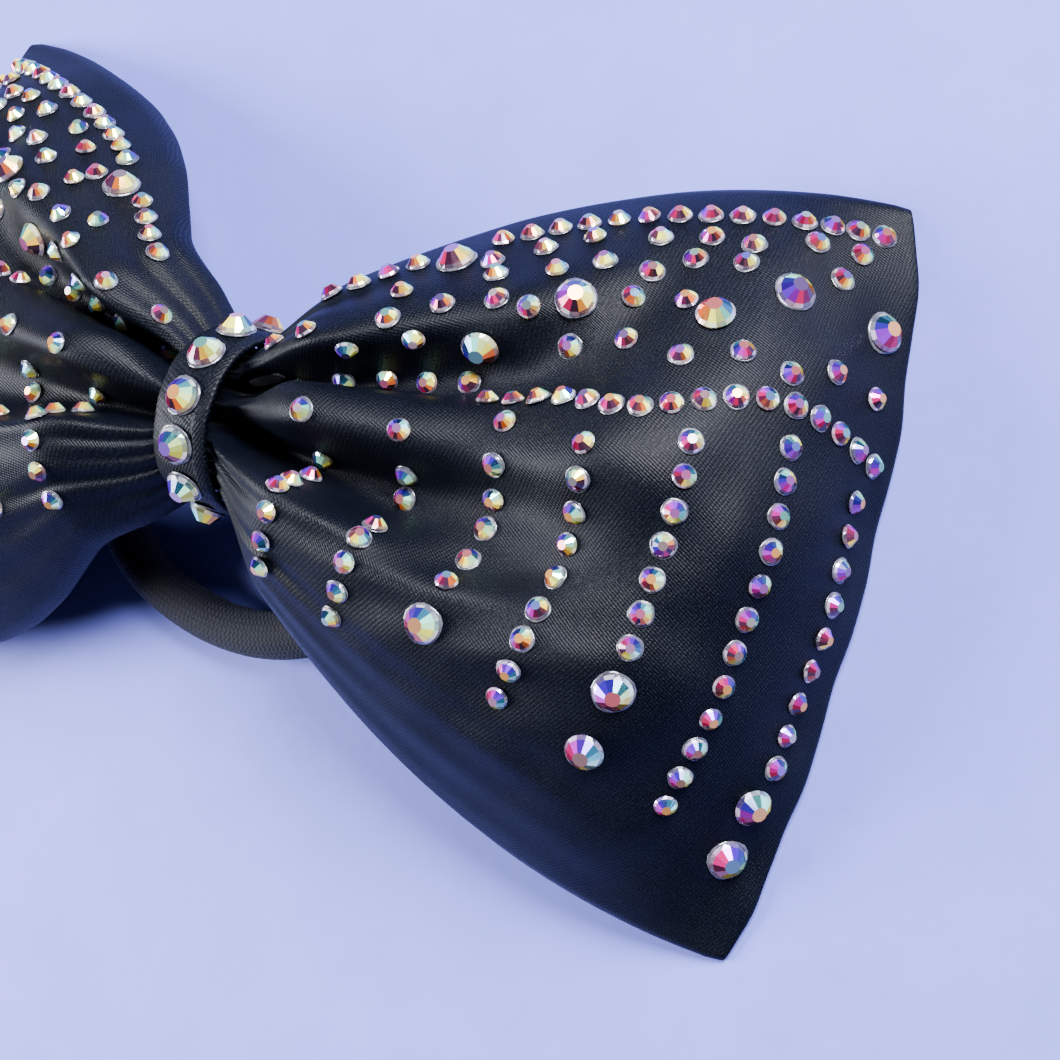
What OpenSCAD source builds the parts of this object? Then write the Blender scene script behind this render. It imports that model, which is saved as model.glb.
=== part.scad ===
// Tailless cheer hair bow: two puffed satin wings, a wrapped knot, a hair elastic and rows of crystals.
// It lies on its back. +X runs along the wings, +Y across them and +Z up through its decorated face.
// The origin is on the supporting surface, under the middle of the knot.

/* [Wings] */
// Height of the bow across its outer ends
bow_height = 114; // [92:1:140]
// Height of the wings' ridges above the supporting surface, before the pleats and the knot lower them
face_height = 51; // [42.5:0.5:62]
// Fabric length from the middle of the bow to the start of each wing's bend
flat_run = 66; // [54:1:80]
// Fabric length of the bend that turns a wing down to its outer end
bend_run = 46; // [38:1:56]
// Downward slope of the run before the bend, in degrees
face_slope = 8; // [5:1:10]
// Slope of a wing's outer end, in degrees
end_slope = 78; // [70:1:84]
// How far the middle of an outer end bulges past its upper corner
end_bulge = 9.2; // [4:0.1:12]
// How far the middle of an outer end bulges past its lower corner
lower_bulge = 4.8; // [2:0.1:10]
// How far the long edges lean back towards the knot at mid wing
edge_lean = 21; // [14:1:26]

/* [Pleats] */
// Depth of the two pleats that run out from the knot, as a share of the ridges' height
pleat_share = 0.294; // [0.12:0.002:0.31]
// Share of the wing's length that the pleats reach
pleat_reach = 0.76; // [0.6:0.01:0.9]

/* [Fabric] */
// Thickness of the satin
satin_t = 0.7; // [0.5:0.1:1]
// Thickness of the stiffener behind the satin
stiffener_t = 0.7; // [0.5:0.1:1.2]
// Space between two layers of fabric
layer_gap = 0.15; // [0.1:0.05:0.3]

/* [Knot] */
// How far the face dips to the knot from the ridges of the wings, as a share of their height
dip_share = 0.24; // [0.16:0.01:0.27]
// Half height of the gathered fabric where it is tied
gather_half = 11.5; // [9:0.5:15]
// Width of the thread tie along the bow
tie_w = 3; // [2:0.5:6]
// Thickness of the thread tie
tie_t = 0.8; // [0.6:0.1:1.2]
// Width of the knot band along the bow
band_w = 10.6; // [8:0.2:14]
// Thickness of the satin band
band_t = 0.7; // [0.5:0.1:1]
// Thickness of the band's lining
lining_t = 0.5; // [0.4:0.1:1]
// Corner radius at the back of the band
band_corner = 6; // [4:0.5:8]
// Height of the knot's underside above the supporting surface
knot_rise = 11.2; // [9:0.1:16]
// Thickness of the lapped band end at the back
tab_t = 0.7; // [0.5:0.1:1]
// Length of the lapped band end
tab_len = 14; // [10:1:16]

/* [Elastic] */
// Outside diameter of the hair elastic
elastic_d = 8; // [6:0.5:10]
// Thickness of the elastic's knitted cover
cover_t = 1.2; // [0.8:0.1:1.6]
// Width of the elastic's loop between its centre lines
loop_w = 52; // [46:1:62]
// Centre-line radius of the loop's corners
loop_corner = 17; // [14:1:20]
// Centre-line radius of the loop's far end
loop_far = 36.7; // [32:0.1:44]
// How far the loop sits off the middle of the bow
loop_shift = 6; // [4:1:8]
// Length of the glued join sleeve
join_len = 8; // [6:1:9]
// Wall of the glued join sleeve
join_t = 0.45; // [0.3:0.05:0.8]

/* [Crystals] */
// Diameter of a small crystal
small_d = 3.5; // [2.9:0.1:4.4]
// Diameter of a large crystal
large_d = 5.8; // [4.8:0.1:7]
// Distance between crystals along a row of the fabric
row_pitch = 5; // [4.6:0.1:8]
// Distance between the columns of crystals
column_pitch = 15; // [12:0.5:17]

/* [Hidden] */

satin_colour = [0.02, 0.02, 0.035];
lining_colour = [0.10, 0.10, 0.11];
elastic_colour = [0.03, 0.03, 0.05];
crystal_colour = [0.85, 0.88, 0.98, 0.8];

// Clearance between pieces that lie against each other, inside the tie, and round the elastic in its tunnel,
// then the least corner radius at the back of a wrap and the least straight run at its sides
fit_gap = 0.1;
tie_ease = 0.7;
tunnel_gap = 0.4;
least_corner = 1;
least_side = 0.1;
// Cells of a panel's surface: along each wing, and across the bow
cells_along = 22;
face_cells_across = 36;
back_cells_across = 16;
// Sides of the elastic's cord, cells along its arcs, and the space between its cover's ends
elastic_sides = 16;
corner_cells = 14;
far_cells = 8;
cover_gap = 0.6;

// Wing profile along the middle of the bow
pleat_depth = pleat_share * face_height;
knot_dip = dip_share * face_height;
bend_r = bend_run / ((end_slope - face_slope) * PI / 180);
fold_stack = 2 * satin_t + 2 * stiffener_t + 3 * layer_gap;
end_rise = fold_stack * cos(end_slope);
bend_fall = bend_r * (cos(face_slope) - cos(end_slope));
end_run = (face_height - flat_run * sin(face_slope) - bend_fall - end_rise) / sin(end_slope);
wing_run = flat_run + bend_run + end_run;

// Stack at the back of the knot, from its underside up to the gathered fabric
join_r = elastic_d / 2 + fit_gap / 2 + join_t;
band_back = knot_rise + tab_t + fit_gap;
lining_back = band_back + band_t + fit_gap / 2;
tunnel_z = lining_back + lining_t + tunnel_gap + join_r;
tie_back = tunnel_z + join_r + tunnel_gap;
gather_back = tie_back + tie_t + layer_gap;
knot_room = face_height - knot_dip - gather_back - fold_stack;

// Inner outlines of the tie, the lining and the band: half width, and height at the front
tie_half = gather_half + tie_ease;
tie_corner = 0.9 * tie_half;
tie_front = face_height - knot_dip + 2 * fit_gap;
lining_half = tie_half + tie_t + 2 * fit_gap;
lining_front = tie_front + tie_t + fit_gap;
band_half = lining_half + lining_t + fit_gap / 2;
band_front = lining_front + lining_t + fit_gap / 2;

// Loop of the elastic: two corner arcs, a straight run through the tunnel and a far arc
loop_half_run = loop_w / 2 - loop_corner;
far_centre = loop_corner - sqrt(pow(loop_far - loop_corner, 2) - pow(loop_half_run, 2));
far_half_angle = atan2(loop_half_run, loop_corner - far_centre);
loop_reach = far_centre + loop_far;
loop_tilt = asin((tunnel_z - elastic_d / 2) / loop_reach);

// How far the long edges hang down: at the knot as a share of its room, and beyond mid wing of the height
knot_hang = 0.79;
edge_drop_knot = knot_hang * knot_room / (face_height - knot_dip - end_rise);
edge_drop_wing = 0.7;
edge_drop_end = 0.65;
// How squarely the section hangs at the knot and on the wing, and where it becomes the wing's
hang_power_knot = 2.3;
hang_power_wing = 2.1;
hang_blend = 30;
// Fabric length over which the dip at the knot rises to the ridges
dip_end = 26;
// Growth of the half height along the wing, the tuck of its long edges, and where their lean starts
fan_power = 0.9;
edge_tuck = 0.1;
lean_power = 1.45;
// How the back's middle falls from the knot to the outer end
back_power = 1.6;
// Pleats across the bow, as shares of its half height
lower_pleat = -0.12;
upper_pleat = 0.31;
// Their half widths near the knot and on the wing, where the change starts and ends along the fabric,
// and how flat their bottoms are
pleat_width_knot = 0.115;
pleat_width_wing = 0.19;
pleat_grow_start = 15;
pleat_grow_end = 60;
pleat_flatness = 2.6;
// How far the ridge between them stays under the others, and its place and half width
ridge_drop = 2.7;
ridge_place = 0.09;
ridge_width = 0.13;
// Depth of the upper pleat against the lower one, how fast both deepen, and the upper one's turn outwards
upper_share = 0.9;
pleat_power = 0.55;
pleat_turn_start = 0.42;
pleat_turn = 2.1;

// Crystal layout: shares of the half height, and lengths of fabric from the middle of the bow
edge_row = 0.88;
edge_row_start = 22;
edge_margin = 5;
line_row = 0.25;
line_rise = 0.13;
line_peak = 0.78;
line_spread = 0.16;
line_row_start = 50;
line_pitch = 0.9 * row_pitch;
column_first = 25;
// First crystal of each column across the bow, and the number of crystals in it
columns = [[0.1, 8], [0.1, 8], [0.16, 8], [0.18, 9], [0.24, 7], [0.28, 12], [0.2, 11]];
// Loose rows of the field: place across the bow, start, end and pitch along it
field_rows = [[0.34, 17, 47, 7], [0.47, 30, 120, 8.5], [0.6, 14, 112, 7.5], [0.71, 37, 119, 8],
    [0.8, 52, 112, 8.5]];
// Large crystals: distance along the wing and share of the half height
large_spots = [[44, 0.83], [49, 0.46], [65, 0.6], [87, 0.57], [99, 0.66], [117, 0.61],
    [55, -0.46], [85, -0.39], [85, -0.56], [114, -0.54], [115, -0.69]];
// How far the field's crystals stray from their rows, and the space above the line row
stray_along = 3;
stray_across = 0.05;
line_clear = 0.07;
knot_crystal_count = 7;
knot_first_angle = 95;
knot_step = 30.3;
crystal_lift = 0.15;
// Least space between a small crystal and a large one, and between two small ones; and the share of a
// pitch by which a column moves on where a pleat brings two of its crystals too near each other
large_gap = 0.5;
small_gap = 0.2;
column_nudge = 0.15;
// Short steps along and across the face that give its slope
near_s = 0.3;
near_t = 0.01;
crystal_height = 0.4;
crystal_table = 0.42;
girdle_h = 0.22;

function clamped(x) = min(1, max(0, x));
function smooth(low, high, x) = let (u = clamped((x - low) / (high - low))) u * u * (3 - 2 * u);
function mix(a, b, w) = a + (b - a) * w;
function hump(x) = sin(180 * clamped(x));
function scatter(n) = let (v = 43.7 * sin(n * 127.1)) v - floor(v) - 0.5;

// Angle of the face below level, at a length of fabric s from the middle
function face_angle(s) = face_slope + 180 / PI * min(bend_run, max(0, s - flat_run)) / bend_r;

// Middle line of the face: distance along X and height
function spine(s) =
    let (flat = min(s, flat_run), tail = max(0, s - flat_run - bend_run), a = face_angle(s))
    [flat * cos(face_slope) + bend_r * (sin(a) - sin(face_slope)) + tail * cos(end_slope),
     face_height - flat * sin(face_slope) - bend_r * (cos(face_slope) - cos(a)) - tail * sin(end_slope)];

function half_height(s) =
    let (q = clamped((s - band_w / 2) / (wing_run - band_w / 2)))
    gather_half + (bow_height / 2 - gather_half) * sin(90 * pow(q, fan_power));
function across(t) = sign(t) * (abs(t) - edge_tuck * pow(abs(t), 4)) / (1 - edge_tuck);
function lean(s, t) =
    let (q = s / wing_run, bulge = t < 0 ? lower_bulge : end_bulge)
    (bulge * q * q + edge_lean * hump(pow(q, lean_power))) * t * t;
function edge_drop(s) = mix(edge_drop_knot, edge_drop_wing, smooth(0, edge_drop_end, s / wing_run));
function hang_power(s) = mix(hang_power_knot, hang_power_wing, smooth(0, hang_blend, s));
function dip(s) = knot_dip * (1 - smooth(band_w / 2 - 1, dip_end, s));

function pleat_line(s) = upper_pleat + pleat_turn * pow(max(0, s / wing_run - pleat_turn_start), 1.5);
function pleat_width(s) = 
    mix(pleat_width_knot, pleat_width_wing, smooth(pleat_grow_start, pleat_grow_end, s));
function groove(t, middle, width) = exp(-pow(abs(t - middle) / width, pleat_flatness));
function pleat(s, t) =
    let (w = pleat_width(s), rise = hump(pow(clamped(s / wing_run / pleat_reach), pleat_power)))
    rise * (1 - pow(t, 6)) * (ridge_drop * groove(t, ridge_place, ridge_width)
        + pleat_depth * (upper_share * groove(t, pleat_line(s), w) + groove(t, lower_pleat, w)));

// Direction out of the face along its middle line
function outward(s) = [sign(s) * sin(face_angle(abs(s))), 0, cos(face_angle(abs(s)))];
function to_side(p, s) = [s < 0 ? -p.x : p.x, p.y, p.z];

// Point of the decorated face, at depth d under its surface
function face_point(s, t, d = 0) =
    let (r = abs(s), m = spine(r), top = m[1] - dip(r),
        hang = (top - end_rise) * edge_drop(r) * pow(abs(t), hang_power(r)),
        p = [m[0] - lean(r, t), half_height(r) * across(t), top - hang])
    to_side(p, s) - outward(s) * (d + pleat(r, t));

// Point of the back, at a height d over its outer surface
function back_point(s, t, d = 0) =
    let (r = abs(s), q = r / wing_run, edge = face_point(r, t < 0 ? -1 : 1, fold_stack),
        tip = face_point(wing_run, 0, fold_stack), middle = mix(gather_back, tip.z, pow(q, back_power)),
        p = [mix(tip.x * q, edge.x, t * t), half_height(r) * across(t), mix(middle, edge.z, t * t)])
    to_side(p, s) + outward(s) * d;

function along_steps() = [for (i = [-cells_along:cells_along]) wing_run * i / cells_along];
function across_steps(cells) = [for (j = [0:cells]) 2 * j / cells - 1];

// Closed sheet between an upper and a lower grid of points, given as lists of rows
module sheet(upper, lower) {
    rows = len(upper);
    cols = len(upper[0]);
    points = concat([for (row = upper) each row], [for (row = lower) each row]);
    low = rows * cols;
    function at(i, j) = i * cols + j;
    top = [for (i = [0:rows - 2], j = [0:cols - 2]) each
        [[at(i, j), at(i, j + 1), at(i + 1, j + 1)], [at(i, j), at(i + 1, j + 1), at(i + 1, j)]]];
    bottom = [for (f = top) [low + f[2], low + f[1], low + f[0]]];
    rim = concat([for (j = [0:cols - 1]) at(0, j)], [for (i = [1:rows - 1]) at(i, cols - 1)],
        [for (j = [cols - 2:-1:0]) at(rows - 1, j)], [for (i = [rows - 2:-1:1]) at(i, 0)]);
    walls = [for (k = [0:len(rim) - 1]) let (a = rim[k], b = rim[(k + 1) % len(rim)]) each
        [[a, low + a, low + b], [a, low + b, b]]];
    polyhedron(points = points, faces = concat(top, bottom, walls));
}

module face_layer(top_depth, thickness) {
    steps = across_steps(face_cells_across);
    sheet([for (s = along_steps()) [for (t = steps) face_point(s, t, top_depth)]],
        [for (s = along_steps()) [for (t = steps) face_point(s, t, top_depth + thickness)]]);
}

module back_layer(low_depth, thickness) {
    steps = across_steps(back_cells_across);
    sheet([for (s = along_steps()) [for (t = steps) back_point(s, t, low_depth + thickness)]],
        [for (s = along_steps()) [for (t = steps) back_point(s, t, low_depth)]]);
}

// Outline of a wrap round the knot: Y to the right and Z up, round at the front and the back
module wrap_outline(half, low, high, low_r, high_r) {
    translate([-half, low + low_r]) square([2 * half, high - high_r - low - low_r]);
    translate([low_r - half, low]) square([2 * (half - low_r), low_r]);
    if (half > high_r) {
        translate([high_r - half, high - high_r]) square([2 * (half - high_r), high_r]);
    }
    for (side = [-1, 1]) {
        translate([side * (half - low_r), low + low_r]) circle(r = low_r, $fn = 64);
        translate([side * (half - high_r), high - high_r]) intersection() {
            circle(r = high_r, $fn = 64);
            translate([-high_r, 0]) square([2 * high_r, high_r]);
        }
    }
}

module wrap(width, half, low, high, corner, t) {
    front_r = min(half, high - low - least_corner);
    back_r = min(corner, high - low - front_r - least_side);
    rotate([90, 0, 90]) translate([0, 0, -width / 2]) linear_extrude(width) difference() {
        wrap_outline(half + t, low - t, high + t, back_r + t, front_r + t);
        wrap_outline(half, low, high, back_r, front_r);
    }
}

// Stations along an arc of the loop: place in the loop's plane, and the angle of its outward side
function arc_stations(centre, radius, start, turn, count) =
    [for (i = [0:count - 1]) let (a = start + turn * i / count)
        [centre.x + radius * cos(a), centre.y + radius * sin(a), a]];

// The loop, anticlockwise from the left end of its straight run to the right end
function loop_stations() = concat(
    arc_stations([-loop_half_run, -loop_corner], loop_corner, 90, 180 - far_half_angle, corner_cells),
    arc_stations([0, -far_centre], loop_far, -90 - far_half_angle, 2 * far_half_angle, far_cells),
    arc_stations([loop_half_run, -loop_corner], loop_corner, far_half_angle - 90, 180 - far_half_angle,
        corner_cells),
    [[loop_half_run, 0, 90]]);

function ring(station, r) =
    [for (k = [0:elastic_sides - 1]) let (f = 360 * k / elastic_sides, a = station[2])
        [station.x + r * cos(f) * cos(a), station.y + r * cos(f) * sin(a), r * sin(f)]];

// Faces of a tube between two rings of points that start at numbers a and b
function band_faces(a, b) =
    [for (k = [0:elastic_sides - 1]) let (next = (k + 1) % elastic_sides) each
        [[a + k, a + next, b + next], [a + k, b + next, b + k]]];
function turned(faces) = [for (f = faces) [f[2], f[1], f[0]]];

// Solid cord that closes on itself
module closed_cord(stations, r) {
    count = len(stations);
    polyhedron(points = [for (p = stations) each ring(p, r)],
        faces = [for (i = [0:count - 1]) each
            band_faces(i * elastic_sides, (i + 1) % count * elastic_sides)]);
}

// Hollow tube with two open ends
module open_tube(stations, outer_r, inner_r) {
    count = len(stations);
    inner = count * elastic_sides;
    last = (count - 1) * elastic_sides;
    points = concat([for (p = stations) each ring(p, outer_r)],
        [for (p = stations) each ring(p, inner_r)]);
    polyhedron(points = points,
        faces = concat(
            [for (i = [0:count - 2]) each band_faces(i * elastic_sides, (i + 1) * elastic_sides)],
            turned([for (i = [0:count - 2]) each
                band_faces(inner + i * elastic_sides, inner + (i + 1) * elastic_sides)]),
            turned(band_faces(0, inner)), band_faces(last, inner + last)));
}

module in_loop_plane() {
    translate([-loop_shift, 0, tunnel_z]) rotate([loop_tilt, 0, 0]) children();
}

// Flat-backed round crystal: a thin girdle and a crown that narrows to a flat table
module crystal(d) {
    cylinder(h = girdle_h, r = d / 2, $fn = 24);
    translate([0, 0, girdle_h])
        cylinder(h = crystal_height * d - girdle_h, r1 = d / 2, r2 = crystal_table * d / 2, $fn = 24);
}

module stand_on(point, normal) {
    translate(point + crystal_lift * normal)
        rotate([0, acos(normal.z), atan2(normal.y, normal.x)]) children();
}

// Changes of the face over a short step along it and a short step across it
function step_along(s, t) = face_point(s + near_s, t) - face_point(s - near_s, t);
function step_across(s, t) = face_point(s, t + near_t) - face_point(s, t - near_t);
function face_normal(s, t) = let (n = cross(step_along(s, t), step_across(s, t))) n / norm(n);
function fabric_step(s, t) = norm(step_across(s, t)) / (2 * near_t);

// A crystal's place: length along the fabric, share of the half height and point of the face
function spot(s, t) = [s, t, face_point(s, t)];
function clear_of(p, others, space) = min(concat([space], [for (q = others) norm(p[2] - q[2])])) >= space;
function kept_apart(spots, kept = [], n = 0) =
    n == len(spots) ? kept
    : kept_apart(spots, concat(kept, clear_of(spots[n], kept, small_d + small_gap) ? [spots[n]] : []), n + 1);

module on_wing(spots, d) {
    for (p = spots) stand_on(p[2], face_normal(p[0], p[1])) crystal(d);
}

// Row along the upper part of the face that the columns hang from
function line_place(s) = line_row + line_rise * exp(-pow((s / wing_run - line_peak) / line_spread, 2));
function large() = [for (p = large_spots) spot(p[0], p[1])];
function off_large(p) = clear_of(p, large(), (small_d + large_d) / 2 + large_gap);
function edge_spots() =
    [for (s = [edge_row_start:row_pitch:wing_run - edge_margin]) let (p = spot(s, edge_row))
        if (off_large(p)) p];
function column_spots(s, t, count, kept = []) =
    count == 0 ? kept
    : let (p = spot(s, t), apart = clear_of(p, kept, small_d + small_gap))
        column_spots(s, t - (apart ? 1 : column_nudge) * row_pitch / fabric_step(s, t),
            count - (apart ? 1 : 0),
            concat(kept, apart && off_large(p) ? [p] : []));
function field_spots() = kept_apart(concat(
    [for (s = [line_row_start:line_pitch:wing_run - edge_margin]) spot(s, line_place(s))],
    [for (k = [0:len(field_rows) - 1]) let (r = field_rows[k])
        for (n = [0:floor((r[2] - r[1]) / r[3])])
            let (s = r[1] + n * r[3] + stray_along * scatter(n + 31 * k),
                t = r[0] + stray_across * scatter(n + 57 * k + 9), p = spot(s, t))
                if (off_large(p) && t > line_place(s) + line_clear) p]));

module edge_crystals() {
    on_wing(edge_spots(), small_d);
}

module column_crystals() {
    for (k = [0:len(columns) - 1]) {
        on_wing(column_spots(column_first + k * column_pitch, columns[k][0], columns[k][1]), small_d);
    }
}

module field_crystals() {
    on_wing(field_spots(), small_d);
}

module large_crystals() {
    on_wing(large(), large_d);
}

module front_satin_panel() {
    color(satin_colour) face_layer(0, satin_t);
}

module front_stiffener() {
    color(lining_colour) face_layer(satin_t + layer_gap, stiffener_t);
}

module back_satin_panel() {
    color(satin_colour) back_layer(0, satin_t);
}

module back_stiffener() {
    color(lining_colour) back_layer(satin_t + layer_gap, stiffener_t);
}

module pinch_tie() {
    color(lining_colour) wrap(tie_w, tie_half, tie_back + tie_t, tie_front, tie_corner, tie_t);
}

module band_lining() {
    color(lining_colour)
        wrap(band_w, lining_half, lining_back + lining_t, lining_front, band_corner, lining_t);
}

module knot_band() {
    color(satin_colour) wrap(band_w, band_half, band_back + band_t, band_front, band_corner, band_t);
}

module band_end_tab() {
    color(satin_colour) translate([-band_w / 2, -tab_len / 2, knot_rise]) cube([band_w, tab_len, tab_t]);
}

module elastic_core() {
    color("dimgray") in_loop_plane() closed_cord(loop_stations(), elastic_d / 2 - cover_t - fit_gap);
}

// The cover's two ends meet inside the join sleeve
module elastic_cover() {
    meet = loop_half_run - join_len / 2;
    ends = [[meet - cover_gap / 2, 0, 90], [meet + cover_gap / 2, 0, 90]];
    color(elastic_colour) in_loop_plane()
        open_tube(concat([ends[0]], loop_stations(), [ends[1]]), elastic_d / 2, elastic_d / 2 - cover_t);
}

module elastic_join() {
    color(elastic_colour) in_loop_plane() translate([loop_half_run - join_len, 0, 0])
        rotate([0, 90, 0]) difference() {
            cylinder(h = join_len, r = join_r, $fn = 48);
            translate([0, 0, -1]) cylinder(h = join_len + 2, r = join_r - join_t, $fn = 48);
        }
}

module right_edge_crystals() {
    color(crystal_colour) edge_crystals();
}

module left_edge_crystals() {
    color(crystal_colour) mirror([1, 0, 0]) edge_crystals();
}

module right_column_crystals() {
    color(crystal_colour) column_crystals();
}

module left_column_crystals() {
    color(crystal_colour) mirror([1, 0, 0]) column_crystals();
}

module right_field_crystals() {
    color(crystal_colour) field_crystals();
}

module left_field_crystals() {
    color(crystal_colour) mirror([1, 0, 0]) field_crystals();
}

module right_large_crystals() {
    color(crystal_colour) large_crystals();
}

module left_large_crystals() {
    color(crystal_colour) mirror([1, 0, 0]) large_crystals();
}

// Large crystals round the front of the knot band, from its upper side to its lower side
module knot_crystals() {
    wrap_r = band_half + band_t;
    middle_z = band_front + band_t - wrap_r;
    color(crystal_colour) for (k = [0:knot_crystal_count - 1]) {
        angle = knot_first_angle - k * knot_step;
        turn = max(-90, min(90, angle));
        below = wrap_r * PI / 180 * abs(angle - turn);
        stand_on([0, wrap_r * sin(turn), middle_z + wrap_r * cos(turn) - below], [0, sin(turn), cos(turn)])
            crystal(large_d);
    }
}

front_satin_panel();
front_stiffener();
back_stiffener();
back_satin_panel();
pinch_tie();
band_lining();
knot_band();
band_end_tab();
elastic_core();
elastic_cover();
elastic_join();
right_edge_crystals();
left_edge_crystals();
right_column_crystals();
left_column_crystals();
right_field_crystals();
left_field_crystals();
right_large_crystals();
left_large_crystals();
knot_crystals();
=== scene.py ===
import bpy
import numpy as np
from mathutils import Matrix, Vector


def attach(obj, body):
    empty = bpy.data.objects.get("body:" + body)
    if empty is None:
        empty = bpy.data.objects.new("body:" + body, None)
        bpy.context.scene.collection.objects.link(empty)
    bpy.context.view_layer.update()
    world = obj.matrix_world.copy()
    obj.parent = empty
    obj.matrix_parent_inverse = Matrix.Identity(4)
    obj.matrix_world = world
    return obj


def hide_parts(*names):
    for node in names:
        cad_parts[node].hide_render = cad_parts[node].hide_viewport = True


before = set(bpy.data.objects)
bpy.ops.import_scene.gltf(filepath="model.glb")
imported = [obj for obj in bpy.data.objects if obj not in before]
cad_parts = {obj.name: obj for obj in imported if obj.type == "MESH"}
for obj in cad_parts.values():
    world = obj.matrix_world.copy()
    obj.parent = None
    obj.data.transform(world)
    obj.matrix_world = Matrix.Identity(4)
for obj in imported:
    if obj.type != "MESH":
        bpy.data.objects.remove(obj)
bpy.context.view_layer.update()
mm = 0.001
luck = np.random.default_rng(11)
print("frame loaded")

shot = {"place": (0.231, -0.004, 0.3287), "tilt": 30.0, "right": (0.961, 0.276), "lens": 81.5}
tilt = np.radians(shot["tilt"])
level = Vector((np.cos(tilt), 0, -np.sin(tilt)))
side = Vector((0, 1, 0))
right = (shot["right"][0] * level + shot["right"][1] * side).normalized()
up = (-shot["right"][1] * level + shot["right"][0] * side).normalized()
camera = bpy.data.objects.new("camera", bpy.data.cameras.new("camera"))
bpy.context.collection.objects.link(camera)
camera.data.lens = shot["lens"]
camera.data.sensor_width = 36.0
camera.data.clip_start = 0.01
camera.matrix_world = Matrix((
    (right.x, up.x, right.cross(up).x, shot["place"][0]),
    (right.y, up.y, right.cross(up).y, shot["place"][1]),
    (right.z, up.z, right.cross(up).z, shot["place"][2]),
    (0, 0, 0, 1)))
bpy.context.scene.camera = camera

lamps = {
    # name: place, size, power, colour
    "window": ((0.42, 0.58, 0.72), 0.6, 76.0, (0.94, 0.95, 1.0)),
    "sideFill": ((-0.62, -0.24, 0.46), 0.5, 31.0, (0.90, 0.92, 1.0)),
}
for name, (place, size, power, colour) in lamps.items():
    lamp = bpy.data.lights.new(name, "AREA")
    lamp.shape, lamp.size, lamp.energy, lamp.color = "DISK", size, power, colour
    lampObject = bpy.data.objects.new(name, lamp)
    bpy.context.collection.objects.link(lampObject)
    aim = Vector((0.05, 0.0, 0.03)) - Vector(place)
    lampObject.matrix_world = Matrix.Translation(place) @ aim.to_track_quat("-Z", "Y").to_matrix().to_4x4()
world = bpy.data.worlds.new("studio")
bpy.context.scene.world = world
world.use_nodes = True
world.node_tree.nodes["Background"].inputs["Color"].default_value = (0.72, 0.75, 1.0, 1)
world.node_tree.nodes["Background"].inputs["Strength"].default_value = 0.13
print("camera and light set")


def addNode(tree, kind, values=None, **settings):
    made = tree.nodes.new(kind)
    for key, value in settings.items():
        setattr(made, key, value)
    for key, value in (values or {}).items():
        if isinstance(value, bpy.types.NodeSocket):
            tree.links.new(value, made.inputs[key])
        else:
            made.inputs[key].default_value = value
    return made


def newMaterial(name, **finish):
    made = bpy.data.materials.new(name)
    made.use_nodes = True
    shader = made.node_tree.nodes["Principled BSDF"]
    for key, value in finish.items():
        shader.inputs[key.replace("_", " ")].default_value = value
    return made, made.node_tree, shader


def ramp(tree, factor, stops):
    made = addNode(tree, "ShaderNodeValToRGB", {"Fac": factor})
    points = made.color_ramp.elements
    while len(points) < len(stops):
        points.new(0.5)
    for point, (place, colour) in zip(points, stops):
        point.position = place
        point.color = (*colour, 1)
    return made.outputs["Color"]


def math(tree, operation, first, second=0.0, clamp=False):
    made = addNode(tree, "ShaderNodeMath", {0: first, 1: second}, operation=operation, use_clamp=clamp)
    return made.outputs[0]


def plus(tree, first, second):
    return math(tree, "ADD", first, second)


def times(tree, first, second):
    return math(tree, "MULTIPLY", first, second)


def vectorMath(tree, operation, first, second):
    made = addNode(tree, "ShaderNodeVectorMath", {0: first, 1: second}, operation=operation)
    return made.outputs["Value" if operation == "DOT_PRODUCT" else "Vector"]


def blend(tree, share, first, second):
    return addNode(tree, "ShaderNodeMix", {"Factor": share, 6: first, 7: second}, data_type="RGBA").outputs[2]


# Links values to a shader's sockets; a height, in millimetres deep, becomes its normal
def paint(tree, shader, height=None, strength=0, depth=0, **values):
    if height is not None:
        values["Normal"] = addNode(tree, "ShaderNodeBump", {
            "Height": height, "Strength": strength, "Distance": depth * mm}).outputs["Normal"]
    for key, value in values.items():
        tree.links.new(value, shader.inputs[key.replace("_", " ")])


def objectPlace(tree):
    return addNode(tree, "ShaderNodeTexCoord").outputs["Object"]


def clothPlace(tree):
    return addNode(tree, "ShaderNodeUVMap", uv_map="cloth").outputs["UV"]


def noise(tree, vector, scale, detail=2.0, rough=0.5):
    return addNode(tree, "ShaderNodeTexNoise", {"Vector": vector, "Scale": scale, "Detail": detail,
                                                "Roughness": rough}).outputs["Fac"]


def smooth(low, high, x):
    share = np.clip((x - low) / (high - low), 0, 1)
    return share * share * (3 - 2 * share)


def hump(x):
    return np.sin(np.pi * np.clip(x, 0, 1))


def mix(a, b, share):
    return a + (b - a) * share


def makeMesh(name, points, faces, uv=None, smoothShade=True):
    mesh = bpy.data.meshes.new(name)
    points = np.asarray(points, float) * mm
    mesh.from_pydata([tuple(p) for p in points], [], [tuple(int(k) for k in f) for f in faces])
    if uv is not None:
        layer = mesh.uv_layers.new(name="cloth")
        corners = np.empty(len(mesh.loops), np.int32)
        mesh.loops.foreach_get("vertex_index", corners)
        flat = np.asarray(uv, float)[corners] if len(uv) == len(points) else np.asarray(uv, float)
        layer.data.foreach_set("uv", (flat * mm).ravel())
    mesh.polygons.foreach_set("use_smooth", [smoothShade] * len(mesh.polygons))
    mesh.update()
    piece = bpy.data.objects.new(name, mesh)
    bpy.context.collection.objects.link(piece)
    return piece


def gridCells(rows, cols, wrapRows, wrapCols):
    i, j = np.meshgrid(np.arange(rows if wrapRows else rows - 1), np.arange(cols if wrapCols else cols - 1),
                       indexing="ij")
    return i.ravel(), j.ravel()


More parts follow.
